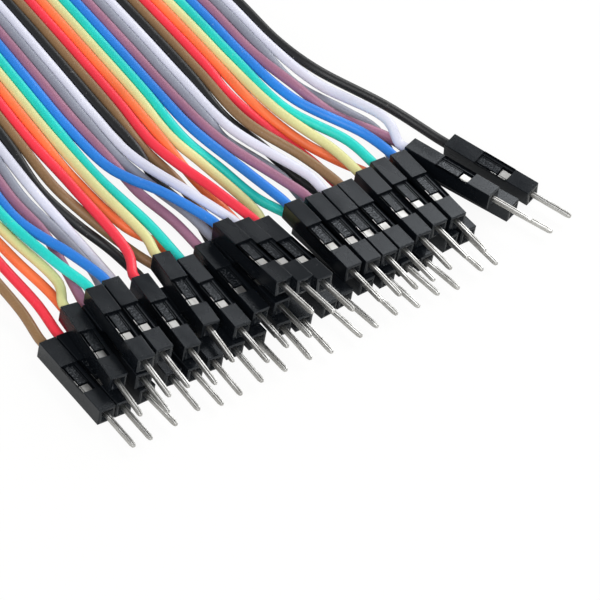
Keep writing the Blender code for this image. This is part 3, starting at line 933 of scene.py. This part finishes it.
def round_edges(shape, radius):
    """Rounds the outside edges, breaks the sharp inner ones and gives the new faces."""
    half = HOUSING_WIDTH / 2 - 1e-3
    outer = []
    inner = []
    for edge in shape.edges:
        if not edge.is_manifold or edge.calc_face_angle(0.0) < radians(30):
            continue
        if not edge.is_convex:
            continue
        low, high = (vert.co for vert in edge.verts)
        along = abs(high.y - low.y) > 0.5 and abs(low.x) > half and abs(low.z) > half
        at_end = min(low.y, high.y) > HOUSING_LENGTH - 1e-3 and (
            max(abs(low.x), abs(low.z)) > half
        )
        if along or at_end:
            outer.append(edge)
        elif abs(low.z) > 0.5 and low.z > 0 and high.z > 0.5:
            inner.append(edge)
    before = set(shape.faces)
    bmesh.ops.bevel(
        shape, geom=outer, offset=radius, offset_type="OFFSET", segments=2, profile=0.5,
        affect="EDGES", clamp_overlap=True, material=-1,
    )
    inner = [edge for edge in inner if edge.is_valid]
    bmesh.ops.bevel(
        shape, geom=inner, offset=radius * 0.35, offset_type="OFFSET", segments=1,
        profile=0.5, affect="EDGES", clamp_overlap=True, material=-1,
    )
    return [face for face in shape.faces if face not in before]


def housing_shape(sizes):
    """One detailed housing in mm, with the marks for the tongue's grain and painted glints, and
    for the painted edge highlight, in the mesh.
    """
    shape = housing_block()
    carve_top(shape)
    chamfer_nose(shape, sizes)
    shape.normal_update()
    hole = sizes.tail_hole / MM
    tube_end(shape, 0.0, sizes.funnel_mouth / MM, FUNNEL_DEPTH, FUNNEL_BOTTOM)
    tube_end(shape, HOUSING_LENGTH, hole, TAIL_HOLE_DEPTH, hole)
    shape.normal_update()
    painted_highlight = round_edges(shape, sizes.edge_round / MM)
    grain = shape.faces.layers.float.new("grain")
    edge = shape.faces.layers.float.new("edge")
    # Marks the tongue's faces for its grain and the painted glints on it.
    for face in shape.faces:
        middle = face.calc_center_median()
        on_tongue = abs(middle.z - (HOUSING_WIDTH / 2 - TONGUE_STEP)) < 0.06
        across = GRAIN_X[0] < middle.x < GRAIN_X[1]
        along = GRAIN_Y[0] < middle.y < GRAIN_Y[1]
        if on_tongue and across and along:
            face[grain] = 1.0
    # Marks the narrow faces of the rounded edges for the painted highlight.
    narrow = sizes.edge_round / MM * 0.6
    for face in painted_highlight:
        if face.is_valid and face.calc_area() < narrow * face.calc_perimeter():
            face[edge] = 1.0
    return shape


def pin_bar(width, seam):
    """The exposed pin: a bar with a seam groove and a rounded, narrowed tip, in mm."""
    front = -PIN_REACH
    shape = bmesh.new()
    bmesh.ops.create_cube(shape, size=1.0)
    bmesh.ops.scale(shape, vec=(width, PIN_BACK - front, width), verts=shape.verts)
    bmesh.ops.translate(shape, vec=(0, (PIN_BACK + front) / 2, 0), verts=shape.verts)
    long_edges = [edge for edge in shape.edges
                  if abs(edge.verts[0].co.y - edge.verts[1].co.y) > 1.0]
    bmesh.ops.bevel(
        shape, geom=long_edges, offset=width * 0.16, offset_type="OFFSET", segments=3,
        profile=0.5, affect="EDGES", material=-1,
    )
    for x in (-seam / 2, seam / 2):
        cut_across(shape, (x, 0, 0), (1, 0, 0))
    for before_tip in (0.1, 0.3, TIP_LENGTH):
        cut_across(shape, (0, front + before_tip, 0), (0, 1, 0))
    shape.normal_update()
    seam_faces = [face for face in shape.faces
                  if face.normal.z > 0.9 and abs(face.calc_center_median().x) < seam / 4
                  and face.calc_center_median().y > front + 0.1]
    sink(shape, seam_faces, width * 0.25)
    for vert in shape.verts:
        before_tip = vert.co.y - front
        if before_tip < TIP_LENGTH:
            share = TIP_SHARE + (1 - TIP_SHARE) * (before_tip / TIP_LENGTH) ** 0.5
            vert.co.x *= share
            vert.co.z *= share
    return shape


def crimp_plates(shape):
    """The flats and side walls of the crimp box, with their edges broken, in mm."""
    for size, centre in CRIMP_PLATES:
        made = bmesh.ops.create_cube(shape, size=1.0)["verts"]
        bmesh.ops.scale(shape, vec=size, verts=made)
        bmesh.ops.translate(shape, vec=centre, verts=made)
        edges = dict.fromkeys(edge for vert in made for edge in vert.link_edges)
        bmesh.ops.bevel(
            shape, geom=list(edges), offset=0.02, offset_type="OFFSET", segments=1,
            profile=0.5, affect="EDGES", material=-1,
        )


def pin_shape(sizes):
    shape = pin_bar(sizes.width / MM, sizes.seam / MM)
    crimp_plates(shape)
    return shape


def copies(shape, placements):
    """One bmesh with a copy of the shape at each placement, in metres."""
    pattern = bpy.data.meshes.new("pattern")
    shape.to_mesh(pattern)
    shape.free()
    gathered = bmesh.new()
    for placement in placements:
        before = len(gathered.verts)
        gathered.from_mesh(pattern)
        gathered.verts.ensure_lookup_table()
        new = gathered.verts[before:]
        bmesh.ops.scale(gathered, vec=(MM, MM, MM), verts=new)
        bmesh.ops.transform(gathered, matrix=in_frame_matrix(placement), verts=new)
    bpy.data.meshes.remove(pattern)
    return gathered


def near_name(members):
    return "near_housing_" + "_".join(f"{number:02d}" for number in members)


def groups_of_housings():
    """Each CAD solid of housings, with the places of the housings in it."""
    groups = {}
    for members in NEAR_STACKS:
        groups[near_name(members)] = [near_placement(number) for number in members]
    for name, first in (("far_housings_lower", 1), ("far_housings_upper", 2)):
        numbers = range(first, WIRE_COUNT + 1, 2)
        groups[name] = [far_placement(number) for number in numbers]
    return groups


# Operators


class MakeCamera(bpy.types.Operator):
    """Sets the camera where the photograph was taken from"""

    bl_idname = "jumper_wires.make_camera"
    bl_label = "Make Camera"

    def execute(self, context):
        stage = settings(context, "jumper_stage")
        turned = (
            Matrix.Rotation(stage.camera_turn, 4, "Z")
            @ Matrix.Rotation(pi / 2 - stage.camera_height, 4, "X")
            @ Matrix.Rotation(stage.camera_roll, 4, "Z")
        )
        data = bpy.data.cameras.new("camera")
        data.sensor_width = 36.0
        data.lens = stage.lens
        data.clip_start = 0.01
        data.clip_end = 20.0
        camera = bpy.data.objects.new("camera", data)
        back = turned @ Vector((0, 0, stage.camera_distance))
        camera.matrix_world = Matrix.Translation(in_frame((0, 0, 0)) + back) @ turned
        context.scene.collection.objects.link(camera)
        context.scene.camera = camera
        return {"FINISHED"}


class MakeWires(bpy.types.Operator):
    """Makes the forty insulated wires along the routes of the CAD solids"""

    bl_idname = "jumper_wires.make_wires"
    bl_label = "Make Wires"

    def execute(self, context):
        sizes = settings(context, "jumper_wire_sizes")
        colours = settings(context, "jumper_colours")
        skins = {}
        for name in WIRE_COLOURS:
            pale = name in ("white", "yellow", "grey")
            skins[name] = insulation(
                f"{name} insulation", getattr(colours, name), 0.35 if pale else 0.55, 0.12
            )
        for number in range(1, WIRE_COUNT + 1):
            self.make_wire(context, number, sizes, skins[colour_of(number)])
        return {"FINISHED"}

    def make_wire(self, context, number, sizes, skin):
        cad_name = f"wire_{number:02d}_{colour_of(number)}"
        name = f"insulated_{cad_name}"
        curve = bpy.data.curves.new(name, "CURVE")
        curve.dimensions = "3D"
        curve.bevel_depth = sizes.diameter / 2
        curve.bevel_resolution = 5
        curve.use_fill_caps = True
        points = self.route(number, sizes)
        spline = curve.splines.new("POLY")
        spline.points.add(len(points) - 1)
        spline.use_smooth = True
        for target, point in zip(spline.points, points):
            target.co = (*in_frame(point), 1.0)
        curve.materials.append(skin)
        wire = bpy.data.objects.new(name, curve)
        context.scene.collection.objects.link(wire)
        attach(wire, "root")
        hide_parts(cad_name)

    def route(self, number, sizes):
        """Closely spaced points of a wire, from inside one housing to inside the other."""
        stations = wire_stations(number)
        inside = sizes.into_housing / MM + WIRE_END_GAP
        start_way = (stations[0] - stations[1]).normalized()
        end_way = (stations[-1] - stations[-2]).normalized()
        held = [stations[0] * 2 - stations[1], *stations, stations[-1] * 2 - stations[-2]]
        points = [stations[0] + start_way * inside]
        for i in range(1, len(held) - 2):
            steps = ceil((held[i + 1] - held[i]).length / (sizes.point_spacing / MM))
            for step in range(steps):
                points.append(curve_point(*held[i - 1:i + 3], step / steps))
        points.append(stations[-1])
        points.append(stations[-1] + end_way * inside)
        return points


class MakeHousings(bpy.types.Operator):
    """Makes the black single-way housings of both ends"""

    bl_idname = "jumper_wires.make_housings"
    bl_label = "Make Housings"

    def execute(self, context):
        sizes = settings(context, "jumper_housing_sizes")
        colours = settings(context, "jumper_colours")
        plastic = housing_plastic(colours.housing)
        for cad_name, placements in groups_of_housings().items():
            shape = copies(housing_shape(sizes), placements)
            made = finish_mesh(f"moulded_{cad_name}", shape, plastic)
            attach(made, "root")
            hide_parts(cad_name)
        return {"FINISHED"}


class MakePins(bpy.types.Operator):
    """Makes the folded crimp pins of both ends"""

    bl_idname = "jumper_wires.make_pins"
    bl_label = "Make Pins"

    def execute(self, context):
        sizes = settings(context, "jumper_pin_sizes")
        colours = settings(context, "jumper_colours")
        metal = tinned_metal(colours.pin)
        for cad_name, placements in groups_of_housings().items():
            shape = copies(pin_shape(sizes), placements)
            name = cad_name.replace("housings", "pins").replace("housing", "pins")
            made = finish_mesh(f"crimped_{name}", shape, metal)
            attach(made, "root")
        return {"FINISHED"}


class DeclareCords(bpy.types.Operator):
    """Works out where each wire's near housing has its tail, and does nothing more with it"""

    bl_idname = "jumper_wires.declare_cords"
    bl_label = "Declare Cords"

    def execute(self, context):
        sizes = settings(context, "jumper_wire_sizes")
        for number in range(1, WIRE_COUNT + 1):
            tail = near_placement(number) @ Vector((0, HOUSING_LENGTH, 0))
        return {"FINISHED"}


class MakeStage(bpy.types.Operator):
    """Makes the pale paper floor and the soft studio light"""

    bl_idname = "jumper_wires.make_stage"
    bl_label = "Make Stage"

    def execute(self, context):
        stage = settings(context, "jumper_stage")
        colours = settings(context, "jumper_colours")
        shape = bmesh.new()
        bmesh.ops.create_grid(shape, x_segments=8, y_segments=8, size=2.0)
        floor = finish_mesh("paper_floor", shape, paper_floor(colours.paper))
        floor.location.z = cad_box[0].z - 0.00002
        self.soft_light(context, "key", stage.key_power, *KEY_LAMP)
        self.soft_light(context, "fill", stage.fill_power, *FILL_LAMP)
        self.room(context, stage.room_light)
        context.scene.view_settings.view_transform = "Standard"
        return {"FINISHED"}

    def soft_light(self, context, name, power, place, size):
        data = bpy.data.lights.new(name, "AREA")
        data.energy = power
        data.shape = "SQUARE"
        data.size = size
        light = bpy.data.objects.new(name, data)
        light.location = place
        light.rotation_euler = (-Vector(place)).to_track_quat("-Z", "Y").to_euler()
        context.scene.collection.objects.link(light)

    def room(self, context, strength):
        """Even light on the object, white for the camera and for reflections near the horizon."""
        world = bpy.data.worlds.new("white room")
        world.use_nodes = True
        tree = world.node_tree
        even = tree.nodes["Background"]
        even.inputs["Color"].default_value = (1.0, 1.0, 1.0, 1.0)
        even.inputs["Strength"].default_value = strength
        white = tree.nodes.new("ShaderNodeBackground")
        white.inputs["Color"].default_value = (1.0, 1.0, 1.0, 1.0)
        white.inputs["Strength"].default_value = 1.0
        mix = tree.nodes.new("ShaderNodeMixShader")
        direction = tree.nodes.new("ShaderNodeTexCoord")
        height = tree.nodes.new("ShaderNodeSeparateXYZ")
        tree.links.new(direction.outputs["Generated"], height.inputs["Vector"])
        horizon = spread(tree, height.outputs["Z"], 0.1, 0.6, 1.0, 0.0)
        tree.links.new(background_share(tree, 1.0, horizon), mix.inputs["Fac"])
        tree.links.new(even.outputs["Background"], mix.inputs[1])
        tree.links.new(white.outputs["Background"], mix.inputs[2])
        tree.links.new(mix.outputs["Shader"], tree.nodes["World Output"].inputs["Surface"])
        context.scene.world = world


class JumperWiresPanel(bpy.types.Panel):
    """Lists the steps and the values that they use"""

    bl_idname = "VIEW3D_PT_jumper_wires"
    bl_label = "Jumper Wires"
    bl_space_type = "VIEW_3D"
    bl_region_type = "UI"
    bl_category = "Jumper Wires"

    def draw(self, context):
        for operator in OPERATORS:
            self.layout.operator(operator.bl_idname)
        for name, kind in PROPERTY_GROUPS.items():
            box = self.layout.box()
            for key in kind.__annotations__:
                box.prop(settings(context, name), key)


OPERATORS = (MakeCamera, MakeWires, MakeHousings, MakePins, DeclareCords, MakeStage)
PROPERTY_GROUPS = {
    "jumper_wire_sizes": JumperWireSizes,
    "jumper_housing_sizes": HousingSizes,
    "jumper_pin_sizes": PinSizes,
    "jumper_colours": CableColours,
    "jumper_stage": StageSettings,
}


def register():
    for kind in (*PROPERTY_GROUPS.values(), *OPERATORS, JumperWiresPanel):
        bpy.utils.register_class(kind)
    for name, kind in PROPERTY_GROUPS.items():
        setattr(bpy.types.Scene, name, bpy.props.PointerProperty(type=kind))


def unregister():
    for name in PROPERTY_GROUPS:
        delattr(bpy.types.Scene, name)
    for kind in (JumperWiresPanel, *reversed(OPERATORS), *PROPERTY_GROUPS.values()):
        bpy.utils.unregister_class(kind)


def main():
    register()
    bpy.ops.jumper_wires.make_camera()
    bpy.ops.jumper_wires.make_wires()
    bpy.ops.jumper_wires.make_housings()
    bpy.ops.jumper_wires.make_pins()
    bpy.ops.jumper_wires.declare_cords()
    bpy.ops.jumper_wires.make_stage()
    bpy.context.view_layer.update()


if __name__ == "__main__":
    main()
